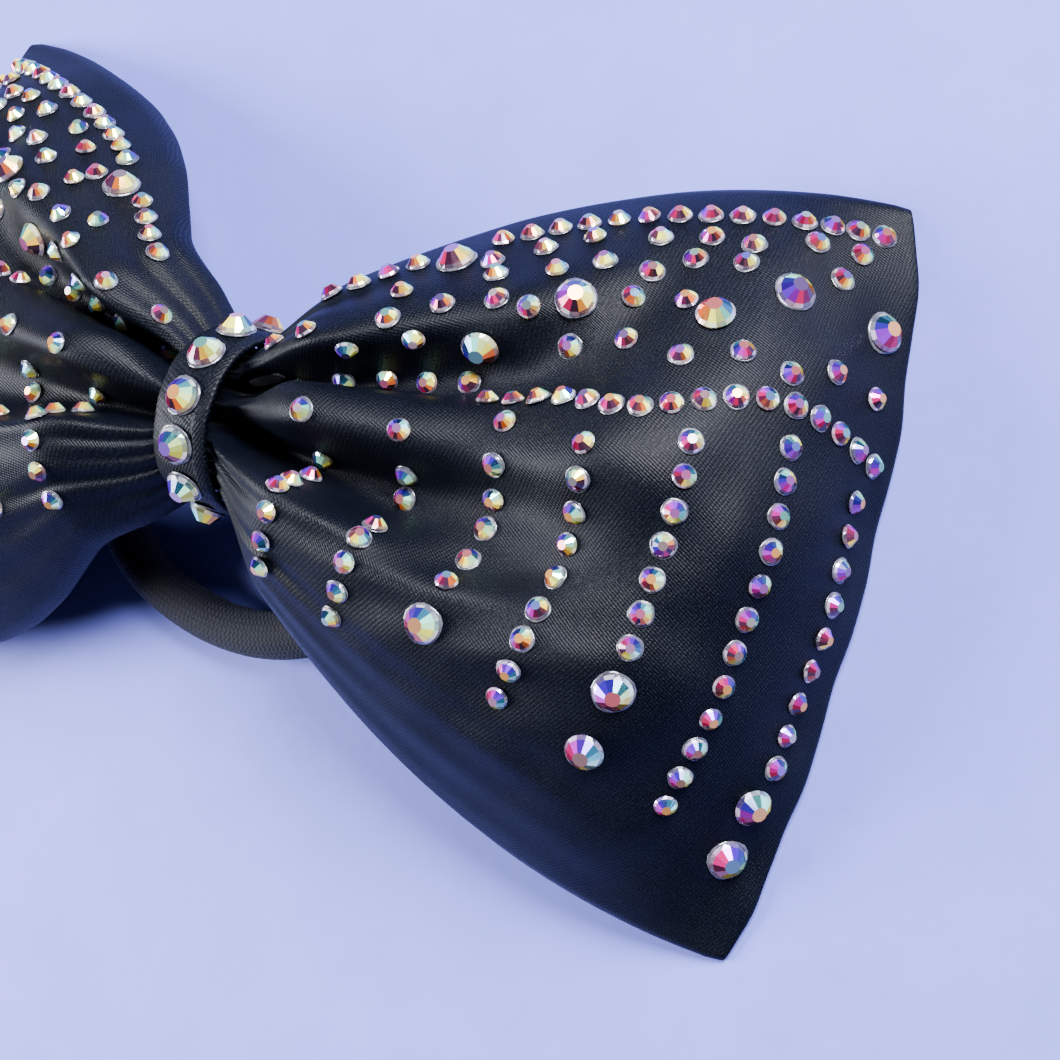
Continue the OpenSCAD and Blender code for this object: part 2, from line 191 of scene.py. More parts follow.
def gridFaces(rows, cols, wrapRows=False, wrapCols=False, flip=False):
    i, j = gridCells(rows, cols, wrapRows, wrapCols)
    after, beside = (i + 1) % rows, (j + 1) % cols
    a, b, c, d = i * cols + j, after * cols + j, after * cols + beside, i * cols + beside
    return np.stack([a, d, c, b] if flip else [a, b, c, d], 1)


# Corner coordinates for gridFaces, so that a closed seam doesn't run backwards
def wrapUv(rows, cols, u, v, wrapRows=False, wrapCols=False, flip=False):
    i, j = gridCells(rows, cols, wrapRows, wrapCols)
    around = [(i, j), (i + 1, j), (i + 1, j + 1), (i, j + 1)]
    if flip:
        around = around[:1] + around[:0:-1]
    return np.stack([np.stack([u[a], v[b]], -1) for a, b in around], 1).reshape(-1, 2)


# Applies the modifiers, given as (kind, settings), and leaves a plain mesh
def settle(piece, *modifiers):
    for kind, settings in modifiers:
        made = piece.modifiers.new(kind.lower(), kind)
        for key, value in settings.items():
            setattr(made, key, value)
    bpy.context.view_layer.update()
    graph = bpy.context.evaluated_depsgraph_get()
    plain = bpy.data.meshes.new_from_object(piece.evaluated_get(graph), preserve_all_data_layers=True,
                                            depsgraph=graph)
    piece.modifiers.clear()
    piece.data = plain
    return piece


def finishPiece(piece, material, body, slot, *nodes):
    if material is not None:
        piece.data.materials.clear()
        piece.data.materials.append(material)
    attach(piece, body)
    if nodes:
        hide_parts(*nodes)
    return piece


wing = {
    "height": 114.0, "faceHeight": 51.0, "flatRun": 66.0, "bendRun": 46.0,
    "faceSlope": np.radians(8.0), "endSlope": np.radians(78.0),
    "endBulge": 9.2, "lowerBulge": 4.8, "edgeLean": 21.0, "knotHang": 0.79, "dropWing": 0.7,
    "knotDip": 12.24, "dipEnd": 26.0, "swell": 1.5,
    "pleatDepth": 14.994, "pleatReach": 0.76, "pleatWidths": (0.115, 0.19),
    "upperPleat": 0.31, "lowerPleat": -0.12, "ridgeDrop": 2.7, "ridgePlace": 0.09, "ridgeWidth": 0.13,
    "gatherHalf": 11.5, "stack": 3.25,
}
knot = {"rise": 11.2, "tab": 0.7, "band": 0.7, "lining": 0.5, "bandWidth": 10.6, "corner": 6.0,
        "tie": 0.8, "tieWidth": 3.0, "tabLength": 14.0}
loop = {"cord": 8.0, "cover": 1.2, "width": 52.0, "corner": 17.0, "far": 36.7, "shift": 6.0,
        "sleeve": 8.0, "wall": 0.45}
bendRadius = wing["bendRun"] / (wing["endSlope"] - wing["faceSlope"])
endRise = wing["stack"] * np.cos(wing["endSlope"])
endRun = (wing["faceHeight"] - wing["flatRun"] * np.sin(wing["faceSlope"]) - endRise
          - bendRadius * (np.cos(wing["faceSlope"]) - np.cos(wing["endSlope"]))) / np.sin(wing["endSlope"])
wingRun = wing["flatRun"] + wing["bendRun"] + endRun
sleeveRadius = loop["cord"] / 2 + 0.05 + loop["wall"]
bandBack = knot["rise"] + knot["tab"] + 0.1
liningBack = bandBack + knot["band"] + 0.05
tunnelZ = liningBack + knot["lining"] + 0.4 + sleeveRadius
tieBack = tunnelZ + sleeveRadius + 0.4
gatherBack = tieBack + knot["tie"] + 0.15
knotFront = wing["faceHeight"] - wing["knotDip"]
dropKnot = wing["knotHang"] * (knotFront - gatherBack - wing["stack"]) / (knotFront - endRise)
tieHalf = wing["gatherHalf"] + 0.7
tieFront = knotFront + 0.2
bandHalf = tieHalf + knot["tie"] + 0.2 + knot["lining"] + 0.05
bandFront = tieFront + knot["tie"] + 0.1 + knot["lining"] + 0.05


def faceAngle(run):
    return wing["faceSlope"] + np.clip(run - wing["flatRun"], 0, wing["bendRun"]) / bendRadius


def spine(run):
    flat = np.minimum(run, wing["flatRun"])
    tail = np.maximum(0, run - wing["flatRun"] - wing["bendRun"])
    a, start, end = faceAngle(run), wing["faceSlope"], wing["endSlope"]
    x = flat * np.cos(start) + bendRadius * (np.sin(a) - np.sin(start)) + tail * np.cos(end)
    z = wing["faceHeight"] - flat * np.sin(start) - bendRadius * (np.cos(start) - np.cos(a))
    z = z - tail * np.sin(end)
    return x, z


def halfHeight(run):
    share = np.clip((run - knot["bandWidth"] / 2) / (wingRun - knot["bandWidth"] / 2), 0, 1)
    return wing["gatherHalf"] + (wing["height"] / 2 - wing["gatherHalf"]) * np.sin(np.pi / 2 * share ** 0.9)


def across(t):
    return np.sign(t) * (np.abs(t) - 0.1 * np.abs(t) ** 4) / 0.9


def pleatLine(run):
    return wing["upperPleat"] + 2.1 * np.maximum(0, run / wingRun - 0.42) ** 1.5


def groove(t, middle, width, power=2.0):
    return np.exp(-np.abs((t - middle) / width) ** power)


# Small gathers that fan out of the knot: place across, width, depth, reach along the wing
gathers = [(0.93, 0.05, 0.8, 34), (0.76, 0.055, 1.3, 46), (0.62, 0.05, 1.0, 30), (0.49, 0.05, 1.1, 24),
           (0.17, 0.04, 0.7, 20), (0.05, 0.045, 0.8, 30), (-0.29, 0.04, 0.8, 22), (-0.42, 0.045, 1.1, 36),
           (-0.55, 0.05, 0.9, 26), (-0.68, 0.05, 1.2, 44), (-0.83, 0.05, 1.0, 30), (-0.94, 0.04, 0.6, 24)]
# Soft waves of the stiffened satin: direction along and across, wavelength, height, phase
waves = [(0.9, 0.3, 31, 0.30, 0.4), (0.2, 1.0, 24, 0.28, 2.1), (-0.6, 0.8, 17, 0.16, 4.0),
         (1.0, -0.5, 13, 0.10, 1.2), (0.3, 0.9, 9, 0.06, 5.1)]


# Height over the plain surface, and the shift across where one pleat hangs over the next
def faceDetail(s, t):
    run = np.abs(s)
    twist = np.where(s < 0, 0.9, 0.0)
    height = np.zeros(np.broadcast(s, t).shape)
    for place, width, depth, reach in gathers:
        fade = (1 - smooth(0.35, 1.0, run / reach)) * smooth(0, 5, run + 3)
        height -= depth * fade * np.exp(-np.abs((t - place - 0.0006 * run) / width) ** 1.7)
    y = wing["height"] / 2 * t
    grown = smooth(18, 60, run) * (1 - 0.7 * np.abs(t) ** 8)
    for along, sideways, length, size, phase in waves:
        height += size * grown * np.sin(2 * np.pi * (along * run + sideways * y) / length + phase + twist)
    # Long wrinkles on the lower flank, along its edge
    flank = smooth(0.5, 0.68, -t) * (1 - smooth(0.93, 1.0, -t))
    flank = flank * smooth(10, 26, run) * (1 - smooth(70, 108, run))
    height += 0.16 * flank * np.sin(2 * np.pi * (y + 0.05 * run) / 6.6 + 1.4 * np.sin(run / 17 + twist))
    # Tension lines that run out of the two deep valleys
    valley = groove(t, wing["lowerPleat"] - 0.2, 0.16) * smooth(14, 40, run) * (1 - smooth(60, 98, run))
    height += 0.5 * valley * np.sin(2 * np.pi * (y - 0.42 * run) / 11 + 1.0 + twist)
    over = 3.0 * smooth(7, 20, run) * (1 - smooth(56, 88, run)) * groove(t, pleatLine(run) - 0.125, 0.075)
    return height, over


def facePoints(s, t, depth=0.0, detail=1.0):
    s, t = np.broadcast_arrays(np.asarray(s, float), np.asarray(t, float))
    run = np.abs(s)
    x, z = spine(run)
    a = faceAngle(run)
    far = np.abs(t)
    share = run / wingRun
    lean = np.where(t < 0, wing["lowerBulge"], wing["endBulge"]) * share ** 2
    lean = lean + wing["edgeLean"] * hump(share ** 1.45)
    drop = mix(dropKnot, wing["dropWing"], smooth(0, 0.65, share))
    power = mix(2.3, 2.1, smooth(0, 30, run))
    # The face dips to the knot, and the gathered cloth swells where it leaves the band
    swell = detail * wing["swell"] * smooth(4.2, 6.8, run) * (1 - smooth(9, 28, run))
    dip = wing["knotDip"] * (1 - smooth(knot["bandWidth"] / 2 - 1, wing["dipEnd"], run))
    z = z - dip + swell * (1 - far ** 3)
    width = mix(*wing["pleatWidths"], smooth(15, 60, run))
    pleats = 0.9 * groove(t, pleatLine(run), width, 2.6) + groove(t, wing["lowerPleat"], width, 2.6)
    ridge = groove(t, wing["ridgePlace"], wing["ridgeWidth"], 2.6)
    pleat = (hump(np.clip(share / wing["pleatReach"], 0, 1) ** 0.55) * (1 - t ** 6)
             * (wing["pleatDepth"] * pleats + wing["ridgeDrop"] * ridge))
    height, over = faceDetail(s, t)
    down = depth + pleat - detail * height
    x = x - lean * t * t - np.sin(a) * down
    z = z - (z - endRise) * drop * far ** power - np.cos(a) * down
    y = (halfHeight(run) + swell) * across(t) + detail * over
    return np.stack([np.where(s < 0, -x, x), y, z], -1)


def backPoints(s, t, depth=0.0, detail=1.0):
    s, t = np.broadcast_arrays(np.asarray(s, float), np.asarray(t, float))
    run = np.abs(s)
    share = run / wingRun
    edge = facePoints(run, np.where(t < 0, -1.0, 1.0), wing["stack"], 0)
    tip = facePoints(wingRun, 0.0, wing["stack"], 0)
    x = mix(tip[0] * share, edge[..., 0], t * t)
    y = halfHeight(run) * across(t)
    z = mix(mix(gatherBack, tip[2], share ** 1.6), edge[..., 2], t * t)
    a = faceAngle(run)
    height = np.zeros(run.shape)
    for place, width, size, reach in gathers:
        fade = 1 - smooth(0.3, 1.0, run / (1.5 * reach))
        height += 0.8 * size * fade * np.exp(-np.abs((t + place) / (1.3 * width)) ** 1.7)
    fade = smooth(24, 60, run) * (1 - t ** 4) * (1 - smooth(0.8, 1.0, share))
    plainY = wing["height"] / 2 * t
    for along, sideways, length, size, phase in waves:
        angle = 2 * np.pi * (sideways * run + along * plainY) / (1.3 * length) + 2 * phase
        height += 1.1 * size * fade * np.sin(angle)
    up = depth + detail * height
    x = x + np.sin(a) * up
    z = z + np.cos(a) * up
    return np.stack([np.where(s < 0, -x, x), y, z], -1)


# Unit vectors along the wing, across it, and out of it
def slopes(points, s, t, stepS=0.35, stepT=0.008):
    along = points(s + stepS, t) - points(s - stepS, t)
    over = points(s, t + stepT) - points(s, t - stepT)
    out = np.cross(along, over)
    return [v / np.linalg.norm(v, axis=-1, keepdims=True) for v in (along, over, out)]


def satinMaterial(name, pitch=0.42, lint=0.0):
    made, tree, shader = newMaterial(
        name, Roughness=0.45, Anisotropic=0.4, Specular_IOR_Level=0.13, IOR=1.42)
    uv = clothPlace(tree)
    drift = times(tree, noise(tree, uv, 260, 2), 2.4)
    # Floats of the weave run on a diagonal, each row half a step from the next
    turn = 2 * np.pi / (pitch * mm)
    row = vectorMath(tree, "DOT_PRODUCT", uv, (0.5 * turn, 0.87 * turn, 0))
    floatRun = vectorMath(tree, "DOT_PRODUCT", uv, (0.62 * turn, -0.28 * turn, 0))
    rows = math(tree, "SINE", plus(tree, row, drift))
    floats = math(tree, "SINE", plus(tree, floatRun, times(tree, drift, 1.7)))
    threads = plus(tree, times(tree, rows, 0.6), times(tree, floats, 0.4))
    grain = noise(tree, uv, 3400, 1, 0.6)
    cloud = noise(tree, uv, 95, 3)
    tone = plus(tree, times(tree, threads, 0.16), times(tree, grain, 0.9))
    tone = plus(tree, tone, times(tree, cloud, 0.25))
    colour = ramp(tree, tone, [(0.35, (0.0002, 0.0003, 0.001)), (0.62, (0.0006, 0.0011, 0.0032)),
                               (0.9, (0.0055, 0.0075, 0.0135))])
    if lint:
        specks = addNode(tree, "ShaderNodeTexVoronoi", {"Vector": uv, "Scale": 330.0, "Randomness": 1.0})
        few = times(tree, math(tree, "SUBTRACT", noise(tree, uv, 40, 1), 0.56), lint)
        speck = math(tree, "LESS_THAN", specks.outputs["Distance"], few)
        colour = blend(tree, speck, colour, (0.16, 0.17, 0.22, 1))
    rough = plus(tree, times(tree, grain, 0.34), times(tree, threads, -0.05))
    rough = plus(tree, rough, times(tree, cloud, 0.12))
    rough = math(tree, "ADD", rough, 0.25, clamp=True)
    tangent = addNode(tree, "ShaderNodeTangent", direction_type="UV_MAP", uv_map="cloth").outputs["Tangent"]
    height = plus(tree, times(tree, threads, 0.5), grain)
    paint(tree, shader, height, 0.85, 0.06, Base_Color=colour, Roughness=rough, Tangent=tangent)
    return made


# Matt woven or pressed cloth, on object coordinates unless the piece has its own cloth map
def clothMaterial(name, dark, light, pitch, mapped=False):
    made, tree, shader = newMaterial(name, Roughness=0.85, Specular_IOR_Level=0.25, Sheen_Weight=0.1)
    place = clothPlace(tree) if mapped else objectPlace(tree)
    turn = 2 * np.pi / (pitch * mm)
    parts = addNode(tree, "ShaderNodeSeparateXYZ", {0: place})
    first = math(tree, "SINE", times(tree, parts.outputs["X"], turn))
    second = math(tree, "SINE", times(tree, parts.outputs["Y"], turn))
    weave = times(tree, first, second)
    fuzz = noise(tree, place, 1800, 3, 0.65)
    colour = ramp(tree, plus(tree, fuzz, times(tree, weave, 0.12)), [(0.3, dark), (0.75, light)])
    paint(tree, shader, plus(tree, times(tree, weave, 0.5), fuzz), 0.6, 0.1, Base_Color=colour)
    return made


satin = satinMaterial("blackSatin", lint=0.09)
bandSatin = satinMaterial("bandSatin", pitch=0.5)
liningCloth = clothMaterial("liningCloth", (0.006, 0.006, 0.008), (0.03, 0.03, 0.034), 0.5)
stiffCloth = clothMaterial("stiffCloth", (0.09, 0.09, 0.1), (0.22, 0.22, 0.24), 0.9, mapped=True)
print("fabrics mixed")


panel = {
    "alongCells": 240, "acrossCells": 132, "edgeInset": 1.2, "endInset": 1.5,
    "hemBulge": 1.3, "hemTurns": 7, "hemReturn": (1.2, 3.2, 5.2, 7.0), "cloth": 0.3,
}
edgeT = 1 - panel["edgeInset"] / (wing["height"] / 2)
endS = wingRun - panel["endInset"]


# Numbers of a grid's outer vertices, once round
def rim(rows, cols):
    start, far = [i * cols for i in range(rows)], [(rows - 1) * cols + j for j in range(1, cols)]
    return np.array(start + far + [i * cols + cols - 1 for i in range(rows - 2, -1, -1)]
                    + list(range(cols - 2, 0, -1)))


# Place on the cloth in millimetres: along the wing, and the length of cloth from its middle line
def clothUv(points, s):
    steps = np.linalg.norm(np.diff(points, axis=1), axis=2)
    far = np.concatenate([np.zeros((len(points), 1)), np.cumsum(steps, 1)], 1)
    return np.stack([s, far - far[:, points.shape[1] // 2, None]], -1).reshape(-1, 2)


def buildFace():
    rows, cols = panel["alongCells"] + 1, panel["acrossCells"] + 1
    s, t = np.meshgrid(np.linspace(-endS, endS, rows), np.linspace(-edgeT, edgeT, cols), indexing="ij")
    uv = [clothUv(facePoints(s, t), s)]
    s, t = s.ravel(), t.ravel()
    points = [facePoints(s, t)]
    faces = [gridFaces(rows, cols)]
    edge = rim(rows, cols)
    es, et = s[edge], t[edge]
    atEnd, atSide = np.isclose(np.abs(es), endS), np.isclose(np.abs(et), edgeT)
    along, over, _ = slopes(facePoints, es, et)
    away = along * (np.sign(es) * atEnd)[:, None] + over * (np.sign(et) * atSide)[:, None]
    away /= np.linalg.norm(away, axis=1, keepdims=True)
    a = faceAngle(np.abs(es))
    out = np.stack([np.sign(es) * np.sin(a), np.zeros_like(a), np.cos(a)], 1)
    reach = mix(0.35, panel["hemBulge"], smooth(6, 15, np.abs(es)))[:, None]
    thick = (wing["stack"] + 0.5) / 2
    corner = points[0][edge]
    rings, strip = [], []
    for k in range(1, panel["hemTurns"] + 1):
        turn = np.pi * k / panel["hemTurns"]
        rings.append(corner + away * reach * np.sin(turn) - out * thick * (1 - np.cos(turn)))
        strip.append(3.0 * k / panel["hemTurns"])
    shrink = mix(0.35, 1.0, smooth(5, 22, np.abs(es)))
    for k, inset in enumerate(panel["hemReturn"]):
        t2 = et - np.sign(et) * atSide * inset * shrink / halfHeight(np.abs(es))
        s2 = es - np.sign(es) * atEnd * inset
        lifted = 0.62 + 0.12 * np.sin(es / 9 + et * 5)
        rings.append(backPoints(s2, t2, -lifted if k < 3 else -0.42))
        strip.append(3.0 + inset)
    count = len(edge)
    base, previous = rows * cols, edge
    uvOut = np.stack([np.sign(es) * atEnd, np.sign(et) * atSide], 1)
    for ring, far in zip(rings, strip):
        numbers = base + np.arange(count)
        faces.append(np.stack([previous, numbers, np.roll(numbers, -1), np.roll(previous, -1)], 1))
        points.append(ring)
        uv.append(uv[0][edge] + uvOut * far)
        base, previous = base + count, numbers
    piece = makeMesh("satinFace", np.concatenate(points), np.concatenate(faces), np.concatenate(uv))
    return settle(piece, ("SOLIDIFY", {"thickness": panel["cloth"] * mm, "offset": -1.0, "use_rim": True}))


satinFace = finishPiece(buildFace(), satin, "bow", "black_satin", "front_satin_panel")
print("face made", len(satinFace.data.polygons))


# Plain sheet that follows a surface, its thickness on the inner side
def buildLayer(name, surface, rows, cols, depth, thick, inset, flip=False):
    s, t = np.meshgrid(np.linspace(inset - wingRun, wingRun - inset, rows),
                       np.linspace(-1, 1, cols) * (1 - inset / (wing["height"] / 2)), indexing="ij")
    points = surface(s, t, depth)
    piece = makeMesh(name, points.reshape(-1, 3), gridFaces(rows, cols, flip=flip), clothUv(points, s))
    return settle(piece, ("SOLIDIFY", {"thickness": thick * mm, "offset": -1.0, "use_rim": True}))


# The stiffeners keep further off their panels near the knot
def frontInner(s, t, depth):
    return facePoints(s, t, depth + 0.9 * (1 - smooth(20, 45, np.abs(s))), 0.0)


def backInner(s, t, depth):
    return backPoints(s, t, depth + 1.0 * (1 - smooth(20, 60, np.abs(s))), 0.0)


stiffener = {"depth": 0.95, "thick": 0.5, "inset": 3.6}
satinBack = buildLayer("satinBack", backPoints, 181, 101, depth=0.0, thick=panel["cloth"], inset=3.0,
                       flip=True)
finishPiece(satinBack, satin, "bow", "black_satin", "back_satin_panel")
innerFront = buildLayer("innerStiffener", frontInner, 141, 81, **stiffener)
finishPiece(innerFront, stiffCloth, "bow", "stiffener", "front_stiffener")
innerBack = buildLayer("innerBackStiffener", backInner, 121, 61, flip=True, **stiffener)
finishPiece(innerBack, stiffCloth, "bow", "stiffener", "back_stiffener")
print("back and stiffeners made")


def repeatTree():
    tree = bpy.data.node_groups.new("setAtPoints", "GeometryNodeTree")
    faceSockets = [("Geometry", "NodeSocketGeometry", None), ("Shape", "NodeSocketObject", None),
                   ("Size", "NodeSocketFloat", 1.0), ("Size Variation", "NodeSocketFloat", 0.0),
                   ("Seed", "NodeSocketInt", 3), ("Material", "NodeSocketMaterial", None)]
    for name, kind, value in faceSockets:
        socket = tree.interface.new_socket(name, in_out="INPUT", socket_type=kind)
        if value is not None:
            socket.default_value = value
    tree.interface.new_socket("Geometry", in_out="OUTPUT", socket_type="NodeSocketGeometry")
    inputs = tree.nodes.new("NodeGroupInput").outputs
    output = tree.nodes.new("NodeGroupOutput")

    def stored(name, kind):
        made = addNode(tree, "GeometryNodeInputNamedAttribute", {"Name": name}, data_type=kind)
        return made.outputs["Attribute"]
    aim = addNode(tree, "FunctionNodeAxesToRotation", {
        "Primary Axis": stored("upward", "FLOAT_VECTOR"),
        "Secondary Axis": stored("sideways", "FLOAT_VECTOR")},
        primary_axis="Z", secondary_axis="X")
    spread = addNode(tree, "FunctionNodeRandomValue", {3: inputs["Size Variation"], "Seed": inputs["Seed"]},
                     data_type="FLOAT")
    size = times(tree, stored("across", "FLOAT"), inputs["Size"])
    size = times(tree, size, plus(tree, spread.outputs[1], 1.0))
    shape = addNode(tree, "GeometryNodeObjectInfo", {"Object": inputs["Shape"]}, transform_space="ORIGINAL")
    spots = addNode(tree, "GeometryNodeMeshToPoints", {"Mesh": inputs["Geometry"]})
    placed = addNode(tree, "GeometryNodeInstanceOnPoints", {
        "Points": spots.outputs["Points"], "Instance": shape.outputs["Geometry"],
        "Rotation": aim.outputs["Rotation"], "Scale": size})
    gem = addNode(tree, "FunctionNodeRandomValue", {"Seed": inputs["Seed"]}, data_type="FLOAT")
    kept = addNode(tree, "GeometryNodeStoreNamedAttribute", {
        "Geometry": placed.outputs["Instances"], "Name": "gem", "Value": gem.outputs[1]},
        data_type="FLOAT", domain="INSTANCE")
    real = addNode(tree, "GeometryNodeRealizeInstances", {"Geometry": kept.outputs["Geometry"]})
    dressed = addNode(tree, "GeometryNodeSetMaterial", {"Geometry": real.outputs["Geometry"],
                                                        "Material": inputs["Material"]})
    tree.links.new(dressed.outputs["Geometry"], output.inputs["Geometry"])
    return tree


setAtPoints = repeatTree()


# spots are in millimetres; sizes are lengths of the shape, whose own length is 1
def setPieces(name, shape, spots, upward, sideways, sizes, material, seed, variation=0.0, turns=None):
    mesh = bpy.data.meshes.new(name)
    mesh.from_pydata([tuple(p) for p in np.asarray(spots) * mm], [], [])
    for label, kind, values in (("upward", "FLOAT_VECTOR", upward), ("sideways", "FLOAT_VECTOR", sideways),
                                ("across", "FLOAT", sizes), ("turn", "FLOAT", turns)):
        if values is None:
            continue
        layer = mesh.attributes.new(label, kind, "POINT")
        layer.data.foreach_set("vector" if kind == "FLOAT_VECTOR" else "value",
                               np.asarray(values, float).ravel())
    piece = bpy.data.objects.new(name, mesh)
    bpy.context.collection.objects.link(piece)
    made = piece.modifiers.new("set", "NODES")
    made.node_group = setAtPoints
    chosen = {"Shape": shape, "Size": mm, "Size Variation": variation, "Seed": seed, "Material": material}
    for item in setAtPoints.interface.items_tree:
        if item.in_out == "INPUT" and item.name in chosen:
            made[item.identifier] = chosen[item.name]
    return settle(piece)


stone = {"sides": 12, "table": 0.20, "tableHeight": 0.40, "crown": 0.435, "crownHeight": 0.155,
         "girdle": 0.5, "girdleHeight": 0.06, "foil": 0.475, "small": 3.5, "large": 5.8, "lift": 0.15}


def stoneShape():
    n = stone["sides"]

    def circle(radius, z, count):
        a = 2 * np.pi * np.arange(count) / count
        return np.stack([radius * np.cos(a), radius * np.sin(a), np.full(count, z)], 1)
    points = np.concatenate([
        circle(stone["table"], stone["tableHeight"], n), circle(stone["crown"], stone["crownHeight"], n),
        circle(stone["girdle"], stone["girdleHeight"], 2 * n), circle(stone["foil"], 0.0, 2 * n)])
    crown, girdle, foil = n, 2 * n, 4 * n
    faces, facet, tier = [list(range(n))], [0.0], [0.0]
    for i in range(n):
        j, here = (i + 1) % n, (i + 0.5) / n
        faces.append([i, crown + i, crown + j, j])
        a, b, c = girdle + 2 * i, girdle + 2 * i + 1, girdle + (2 * i + 2) % (2 * n)
        faces += [[crown + i, a, b], [crown + i, b, crown + j], [crown + j, b, c]]
        facet += [here, here - 0.04, here, here + 0.04]
        tier += [1.0, 2.0, 2.0, 2.0]
    for i in range(2 * n):
        j = (i + 1) % (2 * n)
        faces.append([girdle + i, foil + i, foil + j, girdle + j])
        facet.append(i / 2 / n)
        tier.append(3.0)
    faces.append([foil + i for i in range(2 * n - 1, -1, -1)])
    facet.append(0.0)
    tier.append(4.0)
    shape = makeMesh("stoneShape", points / mm, faces, smoothShade=False)
    for label, values in (("facet", facet), ("tier", tier)):
        shape.data.attributes.new(label, "FLOAT", "FACE").data.foreach_set("value", values)
    return shape


# Thin ring of clear glue that squeezes out under a crystal
def collarShape():
    n = 18
    a = 2 * np.pi * np.arange(n) / n
    wobble = 1 + 0.025 * np.sin(3 * a) + 0.02 * np.sin(5 * a + 1)
    rings = [(0.46, 0.0), (0.545, 0.0), (0.535, 0.018), (0.50, 0.045), (0.46, 0.045)]
    points = np.concatenate([
        np.stack([r * wobble * np.cos(a), r * wobble * np.sin(a), np.full(n, z)], 1) for r, z in rings])
    faces = gridFaces(len(rings), n, wrapRows=True, wrapCols=True, flip=True)
    return makeMesh("collarShape", points / mm, faces)


# Crystal finish; the crown facets carry painted reflection and painted shade, set by which way each facet faces
# round the bow
def crystalMaterial():
    made, tree, shader = newMaterial(
        "coatedCrystalPaintedGlints", Metallic=0.5, Roughness=0.07, IOR=1.55, Specular_IOR_Level=0.5, Coat_Weight=0.06,
        Coat_Roughness=0.02)

    def stored(name):
        return addNode(tree, "ShaderNodeAttribute", attribute_name=name).outputs["Fac"]

    def roll(vector):
        made = addNode(tree, "ShaderNodeTexWhiteNoise", {"Vector": vector}, noise_dimensions="3D")
        return made.outputs["Value"]
    facet, tier, gem, turn = stored("facet"), stored("tier"), stored("gem"), stored("turn")
    number = math(tree, "FLOOR", times(tree, facet, 12.0))
    dice = addNode(tree, "ShaderNodeCombineXYZ", {0: number, 1: times(tree, gem, 57.0), 2: tier}).outputs[0]
    chance, other = roll(dice), roll(vectorMath(tree, "ADD", dice, (3.1, 7.7, 1.3)))
    # Place round the crystal in the bow's frame, in sixths that two or three facets share, sets a painted
    # reflection in the coating's colours: facets towards one side get bright yellow and mint glints, and the
    # others get dark painted shade, as if lit from that side
    angle = plus(tree, facet, turn)
    angle = plus(tree, angle, times(tree, math(tree, "SUBTRACT", gem, 0.5), 0.42))
    angle = plus(tree, angle, times(tree, math(tree, "SUBTRACT", chance, 0.5), 0.12))
    angle = math(tree, "FRACT", plus(tree, angle, 2.0))
    paintedGlint = ramp(tree, angle, [
        (0.0, (1.0, 1.0, 0.22)), (0.06, (0.66, 1.0, 0.42)), (0.13, (0.26, 0.95, 0.72)),
        (0.19, (0.02, 0.11, 0.18)), (0.28, (0.008, 0.014, 0.07)), (0.36, (0.03, 0.004, 0.30)),
        (0.44, (0.15, 0.003, 0.66)), (0.52, (0.42, 0.004, 0.36)), (0.60, (0.50, 0.008, 0.07)),
        (0.68, (0.07, 0.015, 0.05)), (0.77, (0.04, 0.02, 0.045)), (0.85, (0.60, 0.10, 0.012)),
        (0.91, (1.0, 0.70, 0.05)), (0.96, (1.0, 1.0, 0.12))])
    table = ramp(tree, math(tree, "FRACT", times(tree, gem, 7.3)), [
        (0.0, (0.02, 0.12, 0.14)), (0.2, (0.34, 0.07, 0.07)), (0.35, (0.07, 0.05, 0.34)),
        (0.5, (0.07, 0.22, 0.16)), (0.65, (0.42, 0.18, 0.30)), (0.8, (0.01, 0.02, 0.10)),
        (0.9, (0.45, 0.20, 0.06))])
    # Random brightness for each facet's painted glint
    bright = plus(tree, times(tree, other, 0.95), 0.3)
    bright = addNode(tree, "ShaderNodeCombineXYZ", {0: bright, 1: bright, 2: bright}).outputs[0]
    paintedGlint = vectorMath(tree, "MULTIPLY", paintedGlint, bright)
    colour = blend(tree, math(tree, "LESS_THAN", tier, 0.5), paintedGlint, table)
    # The thin rim beyond the foil is nearly clear, with a pale tint
    atRim = times(tree, math(tree, "GREATER_THAN", tier, 1.5), 0.7)
    pale = ramp(tree, other, [
        (0.0, (0.03, 0.03, 0.05)), (0.55, (0.16, 0.14, 0.19)), (1.0, (0.70, 0.66, 0.74))])
    fine = noise(tree, objectPlace(tree), 900, 2)
    paint(tree, shader, Base_Color=blend(tree, atRim, colour, pale),
          Roughness=plus(tree, times(tree, fine, 0.06), 0.04))
    return made


def glueMaterial():
    made, tree, shader = newMaterial(
        "clearGlue", Roughness=0.16, IOR=1.46, Specular_IOR_Level=0.6, Coat_Weight=0.4)
    place = objectPlace(tree)
    colour = ramp(tree, noise(tree, place, 700, 2), [(0.3, (0.02, 0.02, 0.028)), (0.8, (0.10, 0.10, 0.12))])
    paint(tree, shader, noise(tree, place, 1500, 2), 0.3, 0.1, Base_Color=colour)
    return made


